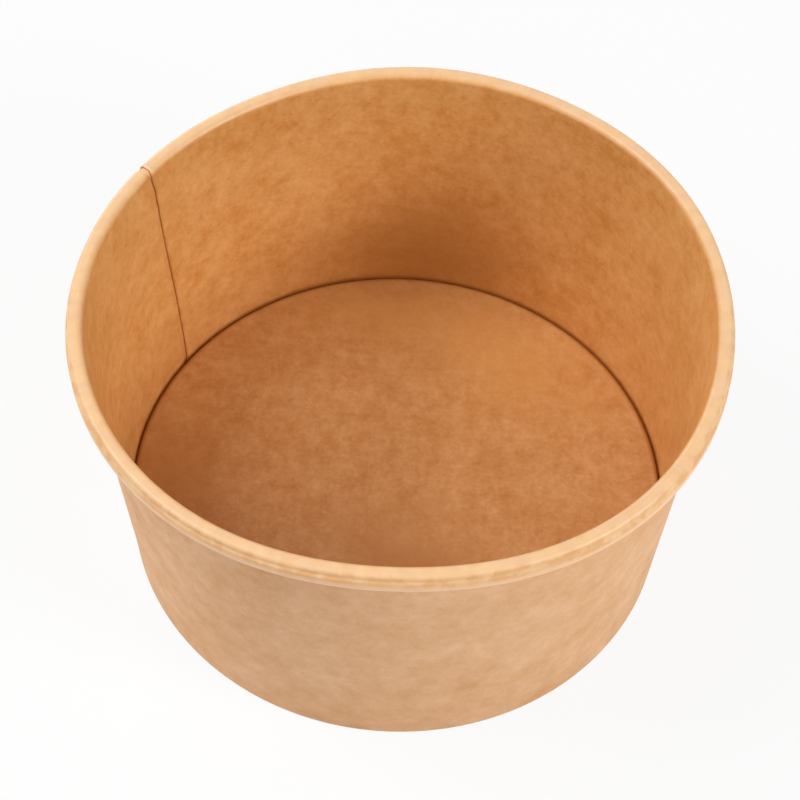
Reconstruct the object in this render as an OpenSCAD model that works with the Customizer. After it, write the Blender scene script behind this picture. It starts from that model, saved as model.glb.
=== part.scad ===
// Round paper salad bowl: a rolled and glued wall with a curled rim, and a raised bottom disc.
// Millimetres, +Z up. The origin is the centre of the ring on which the bowl stands.

/* [Bowl] */
// Diameter over the rolled rim
rim_diameter = 150; // [144:1:180]
// Diameter over the wall at the table
base_diameter = 129; // [110:1:136]
// Height from the table to the top of the rim
bowl_height = 79; // [45:1:100]
// Height of the floor's upper face above the table
floor_height = 9; // [8.5:0.5:14]

/* [Board] */
// Thickness of the wall's board
wall_board = 0.4; // [0.3:0.05:0.45]
// Thickness of the bottom disc's board
disc_board = 0.4; // [0.3:0.05:0.5]
// Space that the glue keeps between two boards pressed together
glue_gap = 0.02; // [0.01:0.01:0.04]

/* [Rolled rim] */
// Width of the roll, from the wall's inner face to the outermost edge
roll_width = 4.1; // [3.9:0.1:4.4]
// Height of the roll, from its top to its underside
roll_height = 5; // [4.8:0.1:5.6]
// Outside radius of the bend from the wall into the top of the roll
crest_inner = 1.6; // [1.4:0.1:1.8]
// Length of the level strip along the top
crest_flat = 1; // [0.8:0.1:1.2]
// Outside radius of the bend from the top down to the groove
crest_outer = 1; // [0.95:0.05:1.05]
// Radius of the groove between the top and the lip
waist_radius = 0.9; // [0.6:0.1:1]
// Drop from the top to the centre of the lip's upper bend
lip_drop = 2.4; // [2.3:0.1:2.6]
// Outside radius of the lip's two bends, and of the bend inside the roll
lip_radius = 1; // [0.95:0.05:1.05]
// Space between the wall and the board's end that is tucked up inside the roll
tuck_gap = 0.55; // [0.5:0.05:0.7]
// Straight length of that tucked end
tuck_length = 1; // [0.4:0.1:1.2]

/* [Base] */
// Height of the hem, the wall's lower edge folded up inside
hem_height = 7; // [4:0.5:7]
// Inside radius of the fold that the bowl stands on
fold_inside = 0.05; // [0.03:0.01:0.08]
// Outside radius of the bend between the floor and the disc's skirt
shoulder_radius = 1.1; // [0.8:0.1:1.3]
// Space between the skirt's lower edge and the fold below it
skirt_gap = 0.15; // [0.1:0.05:1]

/* [Side seam] */
// Direction of the visible edge of the seam, from +X towards +Y
seam_angle = 148; // [0:1:359]
// Width of the overlap, measured along the rim
lap_width = 9; // [6:0.5:12]
// Width over which the under ply comes back level with the wall
lead_width = 2; // [1:0.2:3]
// Height above the table from which the wall is doubled
press_foot = 1; // [0.8:0.1:1.5]
// Height above the table at which the doubled wall has its full thickness
press_height = 3; // [2:0.5:6]

/* [Hidden] */
half_wall = wall_board / 2;
half_disc = disc_board / 2;

// Bends are given by the middle of the board
fold_bend = fold_inside + half_wall;
crest_in_bend = crest_inner - half_wall;
crest_out_bend = crest_outer - half_wall;
waist_bend = waist_radius + half_wall;
lip_bend = lip_radius - half_wall;
shoulder_bend = shoulder_radius - half_disc;

// Angles along the rim for the seam's widths, in hundredths of a degree so that the pieces meet
lap_angle = rim_angle(lap_width);
lead_angle = rim_angle(lead_width / 2);

// Depth at which an under ply's solid starts inside the board, and room left beside a step
ply_root = 0.05;
step_room = 0.3;

// Centres of the foot's outer bend and of the crest's inner bend, as [radius, height]
foot_centre = [base_diameter / 2 - fold_bend - half_wall, fold_bend + half_wall];
crest_in = [rim_diameter / 2 - roll_width + crest_inner, bowl_height - crest_inner];

// Direction in which the wall rises, tangent to both bends
rise = crest_in - foot_centre;
wall_heading = atan2(rise[1], rise[0]) + asin((crest_in_bend + fold_bend) / norm(rise));
wall_along = [cos(wall_heading), sin(wall_heading)];
wall_out = [sin(wall_heading), -cos(wall_heading)];
wall_start = foot_centre + fold_bend * wall_out;

// The hem lies along the wall, with the disc's skirt between them
hem_offset = wall_board + disc_board + 2 * glue_gap;
hem_centre = foot_centre - [(hem_offset - 2 * fold_bend) / wall_out[0], 0];

// The crest's outer bend, the lip's two bends and the groove that touches crest and lip
crest_out = [crest_in[0] + crest_flat, bowl_height - crest_outer];
lip_top = [rim_diameter / 2 - lip_radius, bowl_height - lip_drop];
lip_low = [rim_diameter / 2 - lip_radius, bowl_height - roll_height + lip_radius];
drop = lip_top - crest_out;
crest_reach = crest_out_bend + waist_bend;
lip_reach = lip_bend + waist_bend;
drop_part = (crest_reach * crest_reach - lip_reach * lip_reach + drop * drop) / (2 * norm(drop));
drop_along = drop / norm(drop);
drop_out = [-drop_along[1], drop_along[0]];
waist_out = sqrt(crest_reach * crest_reach - drop_part * drop_part);
waist_centre = crest_out + drop_part * drop_along + waist_out * drop_out;
waist_in = waist_centre - crest_out;
waist_back = waist_centre - lip_top;
waist_start = atan2(waist_in[1], waist_in[0]) - 90;
waist_end = atan2(waist_back[1], waist_back[0]) - 90;

// The bend inside the roll, beside the wall
tuck_centre = beside_wall(lip_low[1], wall_board + tuck_gap + lip_bend);

// The disc's bend, with its skirt against the wall
skirt_out = -half_wall - glue_gap;
skirt_in = skirt_out - disc_board;
skirt_foot = wall_board + skirt_gap;
shoulder_height = floor_height - shoulder_radius;
shoulder_centre = beside_wall(shoulder_height, skirt_out - shoulder_radius);

function rim_angle(width) = round(100 * width * 360 / (PI * rim_diameter)) / 100;

// Point at a height, and at a distance out from the middle of the wall's board
function beside_wall(height, side) =
    let (start = wall_start + side * wall_out)
    start + wall_along * (height - start[1]) / wall_along[1];

// Bends along a board that runs from one heading to another, drawn to the right of its middle
function left_bend(centre, radius, start, end, steps, side) =
    [for (i = [0 : steps]) let (a = start - 90 + (end - start) * i / steps)
        centre + (radius + side) * [cos(a), sin(a)]];
function right_bend(centre, radius, start, end, steps, side) =
    [for (i = [0 : steps]) let (a = start + 90 + (end - start) * i / steps)
        centre + (radius - side) * [cos(a), sin(a)]];

function backwards(points) = [for (i = [len(points) - 1 : -1 : 0]) points[i]];

// One face of the wall's board over the roll, from the top of the wall to the roll's underside
function roll_face(side) = concat(
    right_bend(crest_in, crest_in_bend, wall_heading, 0, 5, side),
    right_bend(crest_out, crest_out_bend, 0, waist_start, 5, side),
    left_bend(waist_centre, waist_bend, waist_start, waist_end, 3, side),
    right_bend(lip_top, lip_bend, waist_end, -90, 3, side),
    right_bend(lip_low, lip_bend, -90, -180, 4, side)
);

// Point on that face a little way in along the roll's underside
function past_lip(side, reach) = lip_low + [-reach, side - lip_bend];

// The same face up inside the roll, with a straight end of a given length
function tuck_face(side, length) = concat(
    right_bend(tuck_centre, lip_bend, -180, wall_heading - 360, 4, side),
    [tuck_centre - (lip_bend - side) * wall_out + length * wall_along]
);

// One whole face of the wall's board, from the hem's edge to the tucked end
function board_face(side) = concat(
    [beside_wall(hem_height, -hem_offset - side)],
    left_bend(hem_centre, fold_bend, wall_heading - 180, 0, 3, side),
    left_bend(foot_centre, fold_bend, 0, wall_heading, 3, side),
    roll_face(side),
    tuck_face(side, tuck_length)
);

// The ply that lies behind the seam's edge, from inside the board out to its outer face
module under_ply(start, end, root, outer, length) {
    rotate([0, 0, start])
        rotate_extrude(angle = end - start, $fn = 180)
            polygon(concat(
                [beside_wall(press_foot, root)],
                roll_face(root),
                tuck_face(root, length),
                backwards(tuck_face(outer, length)),
                backwards(roll_face(outer)),
                [beside_wall(press_height, outer)]
            ));
}

// Room inside the wall and over the roll, down to a depth in the board
module inner_step(start, end, depth, reach) {
    rotate([0, 0, start])
        rotate_extrude(angle = end - start, $fn = 180)
            polygon(concat(
                [beside_wall(press_foot, -half_wall - step_room)],
                roll_face(-half_wall - step_room),
                [past_lip(-half_wall - step_room, reach), past_lip(depth, reach)],
                backwards(roll_face(depth)),
                [beside_wall(press_height, depth)]
            ));
}

// The blank is wound once and overlaps itself. The upper ply ends at the seam's visible edge,
// and the under ply beside that edge comes back level with the wall in two steps.
module side_wall() {
    color([0.82, 0.57, 0.32])
        difference() {
            union() {
                rotate_extrude($fn = 180)
                    polygon(concat(board_face(-half_wall), backwards(board_face(half_wall))));
                under_ply(seam_angle - lap_angle, seam_angle + lead_angle,
                    -ply_root, 3 * half_wall, tuck_length - ply_root);
                under_ply(seam_angle - lap_angle / 2, seam_angle + 2 * lead_angle,
                    -2 * ply_root, 2 * half_wall, tuck_length - 2 * ply_root);
            }
            inner_step(seam_angle, seam_angle + 0.9 * lead_angle, half_wall, step_room);
            inner_step(seam_angle + 0.5 * lead_angle, seam_angle + 1.9 * lead_angle, 0, 2 * step_room);
        }
}

// A round board with its edge turned down into a skirt, glued between the wall and the hem
module base_disc() {
    color([0.72, 0.47, 0.25])
        rotate_extrude($fn = 180)
            polygon(concat(
                [[0, floor_height]],
                right_bend(shoulder_centre, shoulder_bend, 0, wall_heading - 180, 5, -half_disc),
                [beside_wall(skirt_foot, skirt_out), beside_wall(skirt_foot, skirt_in)],
                right_bend(shoulder_centre, shoulder_bend, wall_heading - 180, 0, 5, half_disc),
                [[0, floor_height - disc_board]]
            ));
}

side_wall();
base_disc();
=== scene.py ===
import math
import bmesh
import bpy
import numpy as np
from mathutils import Matrix, Vector


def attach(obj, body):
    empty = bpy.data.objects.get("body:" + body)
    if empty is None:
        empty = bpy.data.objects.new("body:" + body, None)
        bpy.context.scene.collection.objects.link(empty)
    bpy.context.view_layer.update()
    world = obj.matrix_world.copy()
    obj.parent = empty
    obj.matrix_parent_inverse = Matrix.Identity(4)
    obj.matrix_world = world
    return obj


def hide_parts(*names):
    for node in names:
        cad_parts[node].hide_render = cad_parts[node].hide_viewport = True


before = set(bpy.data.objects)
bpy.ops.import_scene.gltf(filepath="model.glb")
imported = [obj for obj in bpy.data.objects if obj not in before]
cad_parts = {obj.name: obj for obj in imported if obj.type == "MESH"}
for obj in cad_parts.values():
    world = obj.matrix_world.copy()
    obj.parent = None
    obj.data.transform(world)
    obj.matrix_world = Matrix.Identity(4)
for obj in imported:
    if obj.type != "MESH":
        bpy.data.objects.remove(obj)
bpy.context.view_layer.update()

# The blank of kraft board that is wound into the wall, in millimetres and degrees, as the solids have it
wallBoard = {
    "rimDiameter": 150.0, "baseDiameter": 129.0, "height": 79.0, "board": 0.4,
    "rollWidth": 4.1, "rollHeight": 5.0, "crestInner": 1.6, "crestFlat": 1.0, "crestOuter": 1.0,
    "waistRadius": 0.9, "lipDrop": 2.4, "lipRadius": 1.0, "tuckGap": 0.55, "tuckLength": 1.0,
    "hemHeight": 7.0, "hemFoot": 1.2, "foldInside": 0.05, "glueGap": 0.02,
    "seamAngle": 148.0, "lapWidth": 9.0, "leadWidth": 2.2, "pressFoot": 0.8, "pressHeight": 3.0,
    "turnStep": 1.0,
    # heights of the rows of points up the wall
    "rows": (0.8, 1.4, 2.2, 3.0, 5, 8, 12, 17, 24, 31, 38, 46, 53, 60, 64, 67.2, 67.5, 70, 72, 74, 76),
    # the seam's edge leans a little: height and degrees
    "edgeLean": [(0, -1.1), (17, -1.1), (24, -0.9), (31, -0.75), (46, -0.1), (53, 0.2), (60, 0.37),
                 (64, 0.55), (67.2, 0.5), (67.5, 0.64), (72, 0.65), (77, 1.25), (78.4, 1.05), (79, 0.75)],
    # how far the rim is out of round and out of level: number of waves a turn, cosine and sine parts
    "outOfRound": [(0, 0.1, 0.0), (1, -0.31, 0.25), (2, 1.01, 0.75), (3, -0.45, -0.55),
                   (4, -0.21, 0.07), (5, -0.08, 0.22), (6, -0.06, 0.01), (7, -0.03, -0.06)],
    "outOfLevel": [(2, -0.22, -0.31), (3, -0.20, 0.23)],
}

# The round board that makes the floor, with its edge turned down
discBoard = {
    "board": 0.4, "floorHeight": 9.0, "shoulderRadius": 1.1, "skirtFoot": 0.55,
    "turns": 300, "sag": 0.25,
}


def unit(angle):
    return np.array([math.cos(math.radians(angle)), math.sin(math.radians(angle))])


def bend(centre, radius, start, end, steps, turn):
    # turn is 1 for a bend to the left of the board's run and -1 for one to the right
    headings = np.linspace(start, end, steps + 1)
    normals = np.array([unit(h - 90) for h in headings])
    return np.array(centre) + turn * radius * normals, normals


def wallSection(w):
    # middle line of the board from the hem's edge to the tucked end, with normals to its outer face
    half = w["board"] / 2
    foldBend = w["foldInside"] + half
    crestInBend, crestOutBend = w["crestInner"] - half, w["crestOuter"] - half
    lipBend = w["lipRadius"] - half
    waistBend = w["waistRadius"] + half
    foot = np.array([w["baseDiameter"] / 2 - foldBend - half, foldBend + half])
    wallTop = w["rimDiameter"] / 2 - w["rollWidth"]
    crestIn = np.array([wallTop + w["crestInner"], w["height"] - w["crestInner"]])
    rise = crestIn - foot
    lean = math.asin((crestInBend + foldBend) / np.hypot(*rise))
    heading = math.degrees(math.atan2(rise[1], rise[0]) + lean)
    along, out = unit(heading), unit(heading - 90)
    start = foot + foldBend * out

    def beside(height, side):
        p = start + side * out
        return p + along * (height - p[1]) / along[1]

    hemOffset = w["board"] + discBoard["board"] + 2 * w["glueGap"]
    hem = foot - np.array([(hemOffset - 2 * foldBend) / out[0], 0])
    crestOut = np.array([crestIn[0] + w["crestFlat"], w["height"] - w["crestOuter"]])
    lipTop = np.array([w["rimDiameter"] / 2 - w["lipRadius"], w["height"] - w["lipDrop"]])
    lipLow = np.array([lipTop[0], w["height"] - w["rollHeight"] + w["lipRadius"]])
    drop = lipTop - crestOut
    far, near = crestOutBend + waistBend, lipBend + waistBend
    length = np.hypot(*drop)
    part = (far ** 2 - near ** 2 + length ** 2) / (2 * length)
    reach = math.sqrt(far ** 2 - part ** 2)
    waist = crestOut + (part * drop + reach * np.array([-drop[1], drop[0]])) / length
    waistStart = math.degrees(math.atan2(*(waist - crestOut)[::-1])) - 90
    waistEnd = math.degrees(math.atan2(*(waist - lipTop)[::-1])) - 90
    tuck = beside(lipLow[1], w["board"] + w["tuckGap"] + lipBend)

    hemRows = np.linspace(w["hemHeight"], w["hemFoot"], 3)
    # each piece is a run of points with the board's outward normals
    pieces = [
        (np.array([beside(h, -hemOffset) for h in hemRows]), np.tile(-out, (len(hemRows), 1))),
        bend(hem, foldBend, heading - 180, 0, 4, 1),
        bend(foot, foldBend, 0, heading, 4, 1),
        (np.array([beside(h, 0) for h in w["rows"]]), np.tile(out, (len(w["rows"]), 1))),
        bend(crestIn, crestInBend, heading, 0, 10, -1),
        bend(crestOut, crestOutBend, 0, waistStart, 10, -1),
        bend(waist, waistBend, waistStart, waistEnd, 8, 1),
        bend(lipTop, lipBend, waistEnd, -90, 7, -1),
        bend(lipLow, lipBend, -90, -180, 9, -1),
        bend(tuck, lipBend, -180, heading - 360, 7, -1),
        (np.array([tuck - lipBend * out + w["tuckLength"] * along]), np.array([out])),
    ]
    line = np.concatenate([p for p, n in pieces])
    normals = np.concatenate([n for p, n in pieces])
    # one letter for each piece: hem, fold, wall, crest, groove, lip, tuck and its inner end
    kinds = np.concatenate([[k] * len(p) for k, (p, n) in zip("hffwccgllti", pieces)])
    keep = np.concatenate([[True], np.hypot(*np.diff(line, axis=0).T) > 1e-4])
    return line[keep], normals[keep], kinds[keep], heading, beside


def smooth(x, low, high):
    t = np.clip((x - low) / (high - low), 0, 1)
    return t * t * (3 - 2 * t)


def rimWarp(w, turn):
    radial = sum(c * np.cos(n * turn) + s * np.sin(n * turn) for n, c, s in w["outOfRound"])
    level = sum(c * np.cos(n * turn) + s * np.sin(n * turn) for n, c, s in w["outOfLevel"])
    return radial, level


def gridMesh(name, front, back, flat, closed, materials):
    # front and back are grids of points, along the section and round the bowl
    # flat holds the same points' places in the flat blank
    rows, cols = front.shape[:2]
    points = np.concatenate([front.reshape(-1, 3), back.reshape(-1, 3)]) * 0.001
    flats = np.concatenate([flat.reshape(-1, 2), flat.reshape(-1, 2)]) * 0.001
    index = np.arange(rows * cols).reshape(rows, cols)
    right = np.roll(index, -1, axis=1) if closed else index[:, 1:]
    left = index if closed else index[:, :-1]
    quads = np.stack([left[:-1], left[1:], right[1:], right[:-1]], -1).reshape(-1, 4)
    shift = rows * cols
    faces = [quads, quads[:, ::-1] + shift]
    slots = [np.zeros(len(quads)), np.ones(len(quads))]

    def strip(a, b, flip):
        q = np.stack([a, b, b + shift, a + shift], -1).reshape(-1, 4)
        faces.append(q if flip else q[:, ::-1])
        slots.append(np.full(len(q), 2))
    strip(left[-1], right[-1], False)
    if not closed:
        strip(left[0], right[0], True)
        strip(index[:-1, 0], index[1:, 0], False)
        strip(index[:-1, -1], index[1:, -1], True)
    faces = np.concatenate(faces)
    slots = np.concatenate(slots).astype(np.int32)
    mesh = bpy.data.meshes.new(name)
    mesh.vertices.add(len(points))
    mesh.vertices.foreach_set("co", points.astype(np.float32).ravel())
    mesh.loops.add(faces.size)
    mesh.loops.foreach_set("vertex_index", faces.astype(np.int32).ravel())
    mesh.polygons.add(len(faces))
    mesh.polygons.foreach_set("loop_start", np.arange(0, faces.size, 4, dtype=np.int32))
    mesh.polygons.foreach_set("material_index", slots)
    mesh.update(calc_edges=True)
    layer = mesh.uv_layers.new(name="flatBlank")
    layer.data.foreach_set("uv", flats[faces.ravel()].astype(np.float32).ravel())
    mesh.polygons.foreach_set("use_smooth", slots < 2)
    if closed:
        # the first ring has no width and becomes one point on each face
        work = bmesh.new()
        work.from_mesh(mesh)
        hub = [v for v in work.verts if v.co.xy.length < 1e-7]
        bmesh.ops.remove_doubles(work, verts=hub, dist=1e-6)
        work.to_mesh(mesh)
        work.free()
    mesh.validate()
    for m in materials:
        mesh.materials.append(m)
    piece = bpy.data.objects.new(name, mesh)
    bpy.context.scene.collection.objects.link(piece)
    return piece


def blankReach(section):
    # distance of each point of the section from the apex of the flat blank, along the board
    line, normals, kinds, heading, beside = section
    travel = np.concatenate([[0], np.cumsum(np.hypot(*np.diff(line, axis=0).T))])
    row = int(np.argmax(kinds == "w"))
    return line[row, 0] / math.cos(math.radians(heading)) + travel - travel[row]


def wallPiece(w, section, materials):
    line, normals, kinds, heading, beside = section
    perTurn = 360 / (math.pi * w["rimDiameter"])
    lap = w["lapWidth"] * perTurn
    lead = w["leadWidth"] * perTurn
    seam = w["seamAngle"]
    # the blank starts behind the seam's edge, goes once round and ends at that edge
    turns = np.concatenate([
        np.linspace(seam - lap, seam, 8, endpoint=False),
        np.linspace(seam, seam + lead * 1.3, 12, endpoint=False),
        np.arange(seam + lead * 1.3, seam + 360 - lap, w["turnStep"]),
        np.linspace(seam + 360 - lap, seam + 360, 9),
    ])
    # behind the seam's edge the board lies one thickness further out, and at the foot it thins away
    under = 1 - smooth(turns, seam + 0.15 * lead, seam + lead)
    behind = 1 - smooth(turns, seam - 0.02, seam + 0.1)
    height = line[:, 1]
    foot = np.where(np.isin(kinds, list("hf")), 1.0, 0.0)
    foot = np.maximum(foot, np.where(kinds == "w", 1 - smooth(height, w["pressFoot"], w["pressHeight"]), 0))
    half = w["board"] / 2
    shift = (w["board"] + w["glueGap"]) * under[None] * (1 - foot[:, None])
    thick = half * (1 - behind[None] * foot[:, None] * 0.98)
    heights, leans = zip(*w["edgeLean"])
    upTo = np.maximum.accumulate(np.where(np.isin(kinds, list("hf")), 0, height))
    turn = np.radians(turns[None] + np.interp(upTo, heights, leans)[:, None])
    # the rim's waves grow from nothing at the floor
    radial, level = rimWarp(w, turn)
    share = np.clip((height - discBoard["floorHeight"]) / (w["height"] - discBoard["floorHeight"]), 0, 1)
    grids = []
    for side in (-1, 1):
        offset = shift + side * thick
        r = line[:, :1] + normals[:, :1] * offset + share[:, None] * radial
        z = line[:, 1:] + normals[:, 1:] * offset + share[:, None] * level
        grids.append(np.stack([r * np.cos(turn), r * np.sin(turn), z], -1))
    # the flat blank: a part of a ring, with its apex where the cone of the wall has its point
    reach = blankReach(section)[:, None]
    spread = (turn - math.radians(seam + 180)) * math.cos(math.radians(heading))
    flat = np.stack([reach * np.sin(spread), reach * np.cos(spread)], -1)
    piece = gridMesh("kraftWall", grids[0], grids[1], flat, False, materials)
    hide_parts("side_wall")
    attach(piece, "root")
    print("wall:", len(line), "by", len(turns), "points, wall leans", round(90 - heading, 2), "degrees")


def discPiece(d, w, beside, heading, materials):
    half = d["board"] / 2
    wallHalf = w["board"] / 2
    skirtMid = -wallHalf - w["glueGap"] - half
    shoulderBend = d["shoulderRadius"] - half
    centre = beside(d["floorHeight"] - d["shoulderRadius"], skirtMid - shoulderBend)
    edge = centre[0]
    radii = np.concatenate([np.linspace(0, edge - 3, 26), [edge - 1.6, edge - 0.6]])
    floorLine = np.stack([radii, np.full(len(radii), d["floorHeight"] - half)], -1)
    curve, curveNormals = bend(centre, shoulderBend, 0, heading - 180, 9, -1)
    skirt = np.array([beside(h, skirtMid) for h in (6.5, 4.0, 2.0, d["skirtFoot"])])
    line = np.concatenate([floorLine, curve, skirt])
    normals = np.concatenate([np.tile([0.0, -1.0], (len(radii), 1)), curveNormals,
                              np.tile(-unit(heading - 90), (4, 1))])
    turn = np.linspace(0, 2 * math.pi, d["turns"], endpoint=False)
    sink = d["sag"] * np.cos(np.clip(line[:, 0] / edge, 0, 1) * math.pi / 2) ** 2
    sink = np.where(np.arange(len(line)) < len(radii), sink, 0)
    ripple = 0.05 * np.sin(2 * turn + 0.7)[None] + 0.04 * np.sin(3 * turn + 2.1)[None]
    ripple = ripple * (np.clip(line[:, :1] / edge, 0, 1) * (1 - np.clip(line[:, :1] / edge, 0, 1)) * 4)
    ripple = np.where((np.arange(len(line)) < len(radii))[:, None], ripple, 0)
    grids = []
    for side in (-1, 1):
        r = line[:, :1] + normals[:, :1] * side * half + 0 * turn[None]
        z = line[:, 1:] + normals[:, 1:] * side * half - sink[:, None] + ripple
        grids.append(np.stack([r * np.cos(turn), r * np.sin(turn), z], -1))
    travel = line[0, 0] + np.concatenate([[0], np.cumsum(np.hypot(*np.diff(line, axis=0).T))])
    flat = np.stack([travel[:, None] * np.cos(turn), travel[:, None] * np.sin(turn)], -1)
    piece = gridMesh("kraftFloor", grids[0], grids[1], flat, True, materials)
    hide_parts("base_disc")
    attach(piece, "root")
    print("floor disc: bend at radius", round(float(edge), 2))


# Kraft board: colours as display values, sizes in millimetres. Every look is given by its colour,
# its roughness, the depth of its relief, how strong its fine patches and fibres are, and a shift of its own
kraftLook = {
    "coated": {"colour": (217, 157, 85), "roughness": 0.42, "relief": 0.12, "fine": 0.92, "seed": 0.0},
    "plain": {"colour": (220, 170, 121), "roughness": 0.75, "relief": 0.2, "fine": 0.55, "seed": 41.0},
    "floor": {"colour": (206, 146, 81), "roughness": 0.45, "relief": 0.12, "fine": 1.0, "seed": 83.0},
    "cut": {"colour": (196, 134, 66), "roughness": 0.9, "relief": 1.0, "fine": 1.0, "seed": 7.0},
    # how far the lightest and darkest tones are from the board's colour, and the tone that looks like it
    "span": (20, 29, 38), "middle": 0.46,
    # soft patches: size and strength, and the size below which a look's own fineness counts
    "patches": [(26, 0.3), (9, 0.36), (5.5, 0.24), (3.2, 0.48), (1.3, 0.3), (0.6, 0.07)],
    "fineBelow": 5,
    # short fibres: spacing, length, width, share of the places that have one, strength
    "fibres": [(2.7, 1.9, 0.17, 0.45, 0.2), (1.3, 0.8, 0.2, 0.5, 0.15),
               (1.9, 0.9, 0.2, 0.45, -0.2), (1.1, 0.3, 0.24, 0.3, -0.2)],
}


def linear(rgb):
    # display values to the shader's own, with full opacity
    shares = [c / 255 for c in rgb]
    return tuple(c / 12.92 if c <= 0.04045 else ((c + 0.055) / 1.055) ** 2.4 for c in shares) + (1.0,)


class NodeSheet:
    # short calls for a material's nodes
    def __init__(self, name):
        self.material = bpy.data.materials.new(name)
        self.material.use_nodes = True
        self.tree = self.material.node_tree
        self.tree.nodes.clear()
        self.column = 0

    def add(self, kind, **settings):
        node = self.tree.nodes.new(kind)
        node.location = (self.column * 190, 0)
        self.column += 1
        for key, value in settings.items():
            setattr(node, key, value)
        return node

    def join(self, source, target):
        self.tree.links.new(source, target)

    def math(self, operation, a, b=None, clamp=False):
        node = self.add("ShaderNodeMath", operation=operation, use_clamp=clamp)
        for socket, value in zip(node.inputs, (a, b)):
            if value is None:
                continue
            if isinstance(value, (int, float)):
                socket.default_value = value
            else:
                self.join(value, socket)
        return node.outputs[0]

    def vector(self, operation, a, b=None):
        node = self.add("ShaderNodeVectorMath", operation=operation)
        for socket, value in zip(node.inputs, (a, b)):
            if isinstance(value, tuple):
                socket.default_value = value
            elif value is not None:
                self.join(value, socket)
        return node.outputs["Value"] if operation in ("LENGTH", "DOT_PRODUCT") else node.outputs["Vector"]

    def noise(self, vector, size, detail=1.0):
        node = self.add("ShaderNodeTexNoise", noise_dimensions="2D")
        node.inputs["Scale"].default_value = 1 / size
        node.inputs["Detail"].default_value = detail
        self.join(vector, node.inputs["Vector"])
        return node

    def ramp(self, value, low, high):
        node = self.add("ShaderNodeMapRange", interpolation_type="SMOOTHSTEP")
        node.inputs["From Min"].default_value = low
        node.inputs["From Max"].default_value = high
        self.join(value, node.inputs["Value"])
        return node.outputs["Result"]

    def mix(self, amount, a, b):
        node = self.add("ShaderNodeMix", data_type="RGBA")
        colours = [s for s in node.inputs if s.type == "RGBA"]
        if isinstance(amount, (int, float)):
            node.inputs[0].default_value = amount
        else:
            self.join(amount, node.inputs[0])
        for socket, value in zip(colours, (a, b)):
            if isinstance(value, tuple):
                socket.default_value = value
            else:
                self.join(value, socket)
        return [s for s in node.outputs if s.type == "RGBA"][0]


def fibreLayer(n, place, spacing, length, width, share):
    # one short bent fibre in each cell, in a direction of its own
    cells = n.add("ShaderNodeTexVoronoi", voronoi_dimensions="2D")
    cells.inputs["Scale"].default_value = 1 / spacing
    n.join(place, cells.inputs["Vector"])
    chance = n.add("ShaderNodeSeparateColor")
    n.join(cells.outputs["Color"], chance.inputs[0])
    turned = n.add("ShaderNodeVectorRotate", rotation_type="Z_AXIS")
    n.join(n.vector("SUBTRACT", place, cells.outputs["Position"]), turned.inputs["Vector"])
    n.join(n.math("MULTIPLY", chance.outputs[0], math.pi), turned.inputs["Angle"])
    part = n.add("ShaderNodeSeparateXYZ")
    n.join(turned.outputs[0], part.inputs[0])
    along = n.math("ABSOLUTE", part.outputs[0])
    bow = n.math("MULTIPLY", n.math("MULTIPLY", along, along), n.math("SUBTRACT", chance.outputs[2], 0.5))
    across = n.math("ABSOLUTE", n.math("ADD", part.outputs[1], bow))
    inside = n.math("MULTIPLY", n.ramp(along, length / 2, length / 4), n.ramp(across, width, width * 0.2))
    return n.math("MULTIPLY", inside, n.math("LESS_THAN", chance.outputs[1], share))


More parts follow.
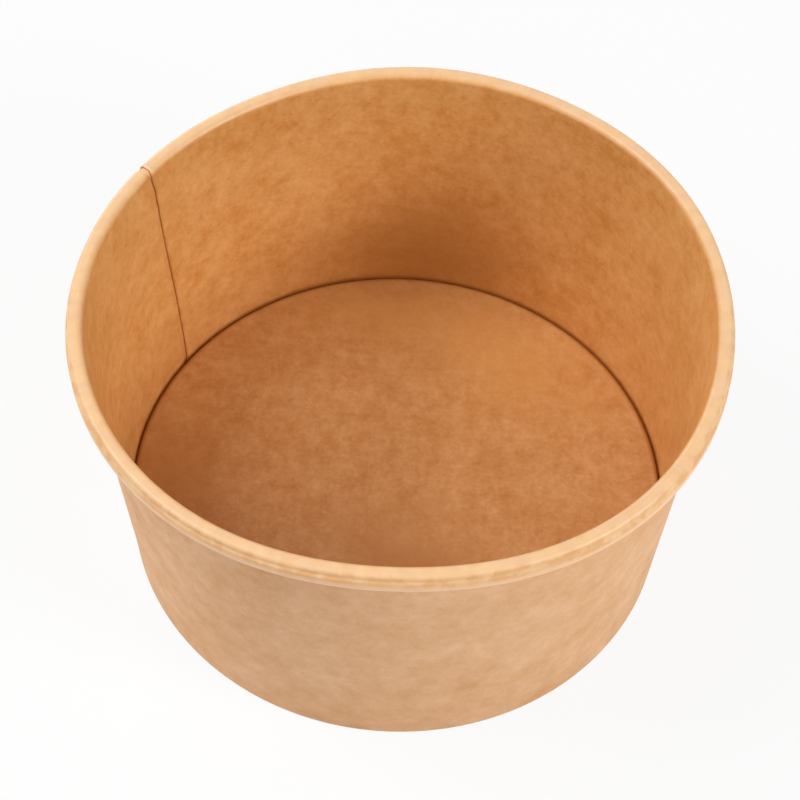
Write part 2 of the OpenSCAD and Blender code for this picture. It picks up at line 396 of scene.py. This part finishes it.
def kraftMaterial(name, look, shared, paintedBands=(), paintedAreas=(), creases=None):
    n = NodeSheet(name)
    blank = n.add("ShaderNodeUVMap", uv_map="flatBlank")
    shifted = n.vector("ADD", blank.outputs[0], (look["seed"] * 0.001, look["seed"] * 0.0007, 0.0))
    spread = n.vector("MULTIPLY", shifted, (1000.0, 1000.0, 1.0))
    # patches and fibres move the tone up and down
    tone, blots, grain = None, None, None
    patches = [
        (size, strength * (look["fine"] if size < shared["fineBelow"] else 1.0))
        for size, strength in shared["patches"]
    ]
    for size, strength in patches:
        patch = n.math("MULTIPLY", n.noise(spread, size).outputs[0], strength)
        tone = patch if tone is None else n.math("ADD", tone, patch)
        blots = patch if 2 < size < 4 else blots
        grain = patch if size < 1 else grain
    tone = n.math("ADD", tone, shared["middle"] - 0.5 * sum(strength for size, strength in patches))
    for k, (spacing, length, width, share, strength) in enumerate(shared["fibres"]):
        place = n.vector("ADD", spread, (13.7 * k, 29.3 * k, 0.0))
        fibre = fibreLayer(n, place, spacing, length, width, share)
        tone = n.math("ADD", tone, n.math("MULTIPLY", fibre, strength * look["fine"]))
    pale = linear([c + far for c, far in zip(look["colour"], shared["span"])])
    deep = linear([c - far for c, far in zip(look["colour"], shared["span"])])
    colour = n.mix(n.math("MULTIPLY", tone, 1.0, clamp=True), deep, pale)
    # bands of painted highlight, reflection and shade along the rim, and of painted shade at the floor's
    # edge, by distance from the apex or the middle of the flat blank:
    # where one starts, is full, fades and ends, how ragged and broken it is, its tint and amount
    reach = n.math("MULTIPLY", n.vector("LENGTH", blank.outputs[0]), 1000.0)
    for start, full, fade, end, ragged, broken, tint, amount in paintedBands:
        wander = n.math("SUBTRACT", n.noise(spread, 3.5).outputs[0], 0.5)
        edge = n.math("ADD", reach, n.math("MULTIPLY", wander, ragged))
        band = n.math("MULTIPLY", n.ramp(edge, start, full), amount)
        if end is not None:
            band = n.math("MULTIPLY", band, n.ramp(edge, end, fade))
        if broken:
            gaps = n.ramp(n.noise(spread, 4.0, 2.0).outputs[0], 0.6, 0.4)
            band = n.math("MULTIPLY", band, n.math("SUBTRACT", 1.0, n.math("MULTIPLY", gaps, broken)))
        colour = n.mix(band, colour, linear(tint))
    # soft areas of painted shade and painted light, each of another tone: middle in the flat blank, half
    # size away from its apex and across it, tint and amount
    for place, tall, wide, tint, amount in paintedAreas:
        away = np.array(place) / np.hypot(*place)
        inBlank = n.vector("MULTIPLY", blank.outputs[0], (1000.0, 1000.0, 0.0))
        gone = n.vector("SUBTRACT", inBlank, (place[0], place[1], 0.0))
        up = n.vector("DOT_PRODUCT", gone, (away[0] / tall, away[1] / tall, 0.0))
        side = n.vector("DOT_PRODUCT", gone, (-away[1] / wide, away[0] / wide, 0.0))
        far = n.math("SQRT", n.math("ADD", n.math("MULTIPLY", up, up), n.math("MULTIPLY", side, side)))
        uneven = n.math("ADD", far, n.math("MULTIPLY", n.noise(spread, 14).outputs[0], 0.5))
        colour = n.mix(n.math("MULTIPLY", n.ramp(uneven, 1.35, 0.25), amount), colour, linear(tint))
    # the surface follows the middle patches and the finest grain
    relief = n.math("ADD", n.math("MULTIPLY", blots, 2.0), n.math("MULTIPLY", grain, 1.5))
    if creases:
        # fine creases across the roll, where the board was stretched round it; their relief is bump, and
        # their colour is painted highlight on the ridges and painted shade in the hollows
        start, full, spacing, strength = creases
        narrow = n.vector("MULTIPLY", spread, (1.0, 0.3, 1.0))
        crease = n.math("SUBTRACT", n.noise(narrow, spacing, 2.0).outputs[0], 0.5)
        rolled = n.math("MULTIPLY", n.ramp(reach, start, full), crease)
        colour = n.mix(n.math("MULTIPLY", rolled, strength, clamp=True), colour, linear((255, 230, 190)))
        colour = n.mix(n.math("MULTIPLY", rolled, -strength, clamp=True), colour, linear((190, 130, 76)))
        relief = n.math("ADD", relief, n.math("MULTIPLY", rolled, 3.0))
    bump = n.add("ShaderNodeBump")
    bump.inputs["Strength"].default_value = look["relief"]
    bump.inputs["Distance"].default_value = 0.00004
    n.join(relief, bump.inputs["Height"])
    shader = n.add("ShaderNodeBsdfPrincipled")
    n.join(colour, shader.inputs["Base Color"])
    n.join(bump.outputs[0], shader.inputs["Normal"])
    shader.inputs["Roughness"].default_value = look["roughness"]
    shader.inputs["Specular IOR Level"].default_value = 0.5
    output = n.add("ShaderNodeOutputMaterial")
    n.join(shader.outputs[0], output.inputs["Surface"])
    return n.material


def paintedRollLight(crestReach, lipReach):
    # painted highlight paler over the roll's crest, painted shade browner in its groove and painted
    # reflection paler on the lip; the creases carry painted highlight and shade
    paintedBands = [
        # painted highlight over the crest and on along the roll
        (crestReach - 0.2, crestReach + 1.7, 0, None, 0.6, 0, (233, 185, 129), 0.85),
        (crestReach + 0.9, crestReach + 2.4, 0, None, 0.9, 0.3, (240, 199, 152), 0.85),
        (crestReach + 0.3, crestReach + 1.8, 0, None, 1.2, 1, (229, 183, 142), 0.55),
        # painted shade in the groove
        (lipReach - 2.2, lipReach - 1.1, lipReach + 0.1, lipReach + 1.6, 1.2, 0.7, (222, 164, 98), 0.8),
        # painted reflection on the lip, palest at its lower edge
        (lipReach + 0.6, lipReach + 1.8, 0, None, 0.9, 0.4, (243, 190, 142), 0.8),
        (lipReach + 1.6, lipReach + 2.8, 0, None, 0.6, 0, (254, 212, 170), 0.85),
    ]
    creases = (crestReach + 0.4, crestReach + 1.6, 3.1, 0.35)
    return paintedBands, creases


def paintedWallShade(w, heading, floorReach):
    # painted shade: a browner area low on the back of the wall, where it lies in shade
    direction, rise = 86, 9.0
    fan = math.radians(direction + 180 - w["seamAngle"]) * math.cos(math.radians(heading))
    middle = ((floorReach + rise) * math.sin(fan), (floorReach + rise) * math.cos(fan))
    return [(middle, 26.0, 38.0, (180, 124, 58), 0.7)]


def floorPaintedShading(floorReach):
    # painted shade in the crevice where wall and floor meet, on each board, and on the floor painted shade
    # at its front and left and painted light at its back
    wallCreviceShade = [
        # painted shade in the crevice above the floor's edge, on the wall
        (floorReach - 3.0, floorReach - 0.6, floorReach - 0.5, floorReach + 1.0, 0.3, 0, (150, 82, 24), 0.8),
    ]
    # painted shade on the disc's shoulder, in the same crevice
    discCreviceShade = [(63.0, 64.4, 0, None, 0.3, 0, (160, 84, 20), 0.85)]
    paintedAreas = [
        # painted shade at the front and left of the floor, where the wall casts its shadow
        ((2.0, -26.0), 26.0, 30.0, (184, 122, 60), 0.75),
        ((-56.0, -2.0), 20.0, 28.0, (190, 128, 62), 0.7),
        # painted light at the back of the floor
        ((24.0, 42.0), 24.0, 40.0, (224, 163, 92), 0.6),
        ((-6.0, 54.0), 14.0, 34.0, (224, 163, 92), 0.6),
    ]
    return wallCreviceShade, discCreviceShade, paintedAreas


section = wallSection(wallBoard)
reach = blankReach(section)
crestReach = float(reach[section[2] == "c"][0])
lipReach = float(reach[section[2] == "l"][0])
wallHeights, wallReach = section[0][section[2] == "w", 1], reach[section[2] == "w"]
floorReach = float(np.interp(discBoard["floorHeight"], wallHeights, wallReach))
# painted highlight, painted reflection and painted shade on the roll
rollLightBands, rollCreaseShading = paintedRollLight(crestReach, lipReach)
# painted shade low on the back of the wall
paintedLowShade = paintedWallShade(wallBoard, section[3], floorReach)
# painted shade in the crevice where wall meets floor, in floorLine and the disc's edge; painted light and
# shade on the floor
floorLine, discEdgeShade, paintedFloorLight = floorPaintedShading(floorReach)
coatedKraft = kraftMaterial(
    "coatedKraft", kraftLook["coated"], kraftLook, rollLightBands + floorLine, paintedLowShade, rollCreaseShading)
plainKraft = kraftMaterial("plainKraft", kraftLook["plain"], kraftLook)
floorKraft = kraftMaterial("floorKraft", kraftLook["floor"], kraftLook, discEdgeShade, paintedFloorLight)
cutKraft = kraftMaterial("cutKraft", kraftLook["cut"], kraftLook)
print("materials ready")

wallPiece(wallBoard, section, [coatedKraft, plainKraft, cutKraft])
discPiece(discBoard, wallBoard, section[4], section[3], [floorKraft, plainKraft, cutKraft])
print("bowl ready")

# Camera: aim and distance in metres, angles in degrees, focal length in pixels of an 800 pixel frame
cameraView = {
    "aim": (-0.00032, 0.0, 0.04412), "distance": 0.700, "elevation": 53.98, "roll": -2.78,
    "focal": 2968.9, "frame": 800,
}


def placeCamera(c):
    e, roll = math.radians(c["elevation"]), math.radians(c["roll"])
    back = Vector((0, -math.cos(e), math.sin(e)))
    right, up = Vector((1, 0, 0)), Vector((0, math.sin(e), math.cos(e)))
    turnedRight = math.cos(roll) * right - math.sin(roll) * up
    turnedUp = math.sin(roll) * right + math.cos(roll) * up
    data = bpy.data.cameras.new("viewCamera")
    data.sensor_width = 36
    data.lens = c["focal"] / c["frame"] * data.sensor_width
    data.clip_start = 0.01
    data.clip_end = 20
    camera = bpy.data.objects.new("viewCamera", data)
    place = Vector(c["aim"]) + back * c["distance"]
    camera.matrix_world = Matrix((
        (turnedRight.x, turnedUp.x, back.x, place.x),
        (turnedRight.y, turnedUp.y, back.y, place.y),
        (turnedRight.z, turnedUp.z, back.z, place.z),
        (0, 0, 0, 1)))
    bpy.context.scene.collection.objects.link(camera)
    bpy.context.scene.camera = camera


placeCamera(cameraView)

# Lamps: name, direction from +X towards +Y, height in degrees, size in metres, watts
studioLights = [
    ("backLamp", 115, 15, 0.7, 6.5),
    ("rightLamp", 334, 30, 0.5, 11.6),
    ("leftLamp", 177, 53, 0.7, 11.3),
    ("lowLamp", 210, 15, 0.5, 2.4),
    ("frontLamp", 270, 45, 0.5, 2.2),
]
lampDistance = 1.3
worldLevel = 0.05


def placeLights(lamps, distance):
    middle = Vector((0, 0, 0.05))
    for name, direction, height, size, watts in lamps:
        data = bpy.data.lights.new(name, "AREA")
        data.shape = "SQUARE"
        data.size = size
        data.energy = watts
        lamp = bpy.data.objects.new(name, data)
        a, e = math.radians(direction), math.radians(height)
        side = Vector((math.cos(e) * math.cos(a), math.cos(e) * math.sin(a), math.sin(e)))
        lamp.location = middle + side * distance
        lamp.rotation_euler = (-side).to_track_quat("-Z", "Y").to_euler()
        bpy.context.scene.collection.objects.link(lamp)


def makeWorld(level):
    world = bpy.data.worlds.new("studioWorld")
    world.use_nodes = True
    tree = world.node_tree
    tree.nodes.clear()
    path = tree.nodes.new("ShaderNodeLightPath")
    air = tree.nodes.new("ShaderNodeBackground")
    air.inputs["Color"].default_value = (1, 1, 1, 1)
    air.inputs["Strength"].default_value = level
    white = tree.nodes.new("ShaderNodeBackground")
    white.inputs["Color"].default_value = (1, 1, 1, 1)
    white.inputs["Strength"].default_value = 1.0
    pick = tree.nodes.new("ShaderNodeMixShader")
    out = tree.nodes.new("ShaderNodeOutputWorld")
    seen = tree.nodes.new("ShaderNodeMath")
    seen.operation = "MAXIMUM"
    tree.links.new(path.outputs["Is Camera Ray"], seen.inputs[0])
    tree.links.new(path.outputs["Is Glossy Ray"], seen.inputs[1])
    tree.links.new(seen.outputs[0], pick.inputs[0])
    tree.links.new(air.outputs[0], pick.inputs[1])
    tree.links.new(white.outputs[0], pick.inputs[2])
    tree.links.new(pick.outputs[0], out.inputs["Surface"])
    bpy.context.scene.world = world


def makeFloor():
    mesh = bpy.data.meshes.new("studioFloor")
    half = 3.0
    corners = [(-half, -half, 0), (half, -half, 0), (half, half, 0), (-half, half, 0)]
    mesh.from_pydata(corners, [], [(0, 1, 2, 3)])
    n = NodeSheet("studioFloorWhite")
    path = n.add("ShaderNodeLightPath")
    paper = n.add("ShaderNodeBsdfDiffuse")
    paper.inputs["Color"].default_value = (0.8, 0.8, 0.8, 1)
    glow = n.add("ShaderNodeEmission")
    glow.inputs["Color"].default_value = (1, 1, 1, 1)
    glow.inputs["Strength"].default_value = 1.0
    seen = n.math("MAXIMUM", path.outputs["Is Camera Ray"], path.outputs["Is Glossy Ray"])
    share = n.math("MULTIPLY", seen, 0.88)
    pick = n.add("ShaderNodeMixShader")
    n.join(share, pick.inputs[0])
    n.join(paper.outputs[0], pick.inputs[1])
    n.join(glow.outputs[0], pick.inputs[2])
    out = n.add("ShaderNodeOutputMaterial")
    n.join(pick.outputs[0], out.inputs["Surface"])
    mesh.materials.append(n.material)
    floor = bpy.data.objects.new("studioFloor", mesh)
    bpy.context.scene.collection.objects.link(floor)


placeLights(studioLights, lampDistance)
makeWorld(worldLevel)
makeFloor()
bpy.context.scene.view_settings.view_transform = "Standard"
print("studio ready")
